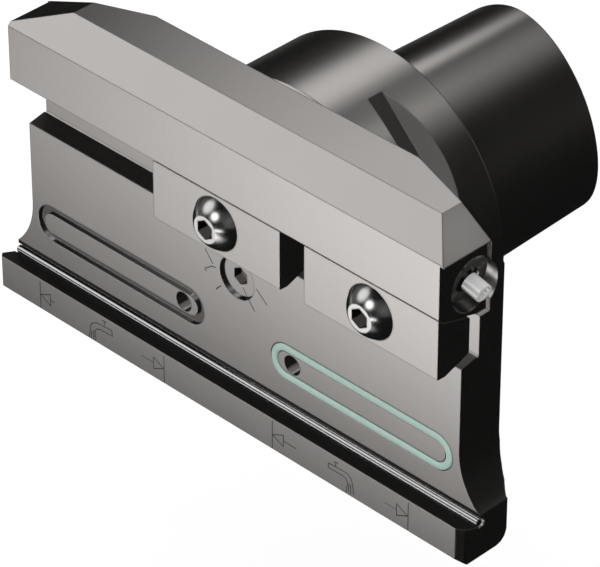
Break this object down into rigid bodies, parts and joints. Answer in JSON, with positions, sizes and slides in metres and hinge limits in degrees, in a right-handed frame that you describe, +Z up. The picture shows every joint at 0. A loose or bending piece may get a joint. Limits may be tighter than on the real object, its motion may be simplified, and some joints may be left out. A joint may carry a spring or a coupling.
{
  "type": "cutting-off blade tool adapter",
  "caption": "Tool adapter with a three-lobed taper shank, a gripper collar and a cross block with wedge clamps, a coolant selector and a nozzle for a cutting-off blade.",
  "frame": {"origin": "on the shank axis at the rear face of the collar, where the shank begins", "axes": "+Y along the shank axis toward its free end, +X along the cross block toward the nozzle, +Z up toward the bar"},
  "size_m": [0.12, 0.0823, 0.0674],
  "materials": {
    "body_steel": "satin gunmetal steel",
    "clamp_steel": "satin ground steel",
    "polished_rod": "polished hardened steel",
    "polished_screw": "polished steel",
    "satin_screw": "satin steel",
    "polished_nozzle": "polished steel",
    "bright_ring": "bright turned steel",
    "mint_rubber": "matt moulded rubber",
    "dark_rubber": "matt rubber",
    "white_seat": "matt plastic"
  },
  "bodies": {
    "adapter": {"adapter_body": "body_steel", "support_rod": "polished_rod", "seal_ring": "mint_rubber", "nozzle_ring": "bright_ring", "nozzle_seat": "white_seat"},
    "left_clamp": {"clamp_left": "clamp_steel"},
    "right_clamp": {"clamp_right": "clamp_steel"},
    "left_clamp_screw": {"clamp_screw_left": "polished_screw"},
    "right_clamp_screw": {"clamp_screw_right": "polished_screw"},
    "selector": {"selector_screw": "satin_screw", "selector_seal": "dark_rubber"},
    "nozzle": {"nozzle": "polished_nozzle"}
  },
  "joints": [
    {"name": "left_clamp_slide", "type": "slide", "parent": "adapter", "child": "left_clamp", "axis": [0, -1, 0], "range_m": [0, 0.002]},
    {"name": "right_clamp_slide", "type": "slide", "parent": "adapter", "child": "right_clamp", "axis": [0, -1, 0], "range_m": [0, 0.002]},
    {"name": "left_screw_turn", "type": "hinge", "parent": "left_clamp", "child": "left_clamp_screw", "pos_m": [-0.00019, -0.04165, 0.0121], "axis": [0, -1, 0], "range_deg": [0, 720]},
    {"name": "right_screw_turn", "type": "hinge", "parent": "right_clamp", "child": "right_clamp_screw", "pos_m": [0.03781, -0.04165, 0.0121], "axis": [0, -1, 0], "range_deg": [0, 720]},
    {"name": "selector_turn", "type": "hinge", "parent": "adapter", "child": "selector", "pos_m": [0, -0.0363, -0.002], "axis": [0, -1, 0], "range_deg": [-90, 90]},
    {"name": "nozzle_tilt", "type": "hinge", "parent": "adapter", "child": "nozzle", "pos_m": [0.05021, -0.0334, 0.02273], "axis": [0, 1, 0], "range_deg": [-17.5, 17.5]}
  ]
}
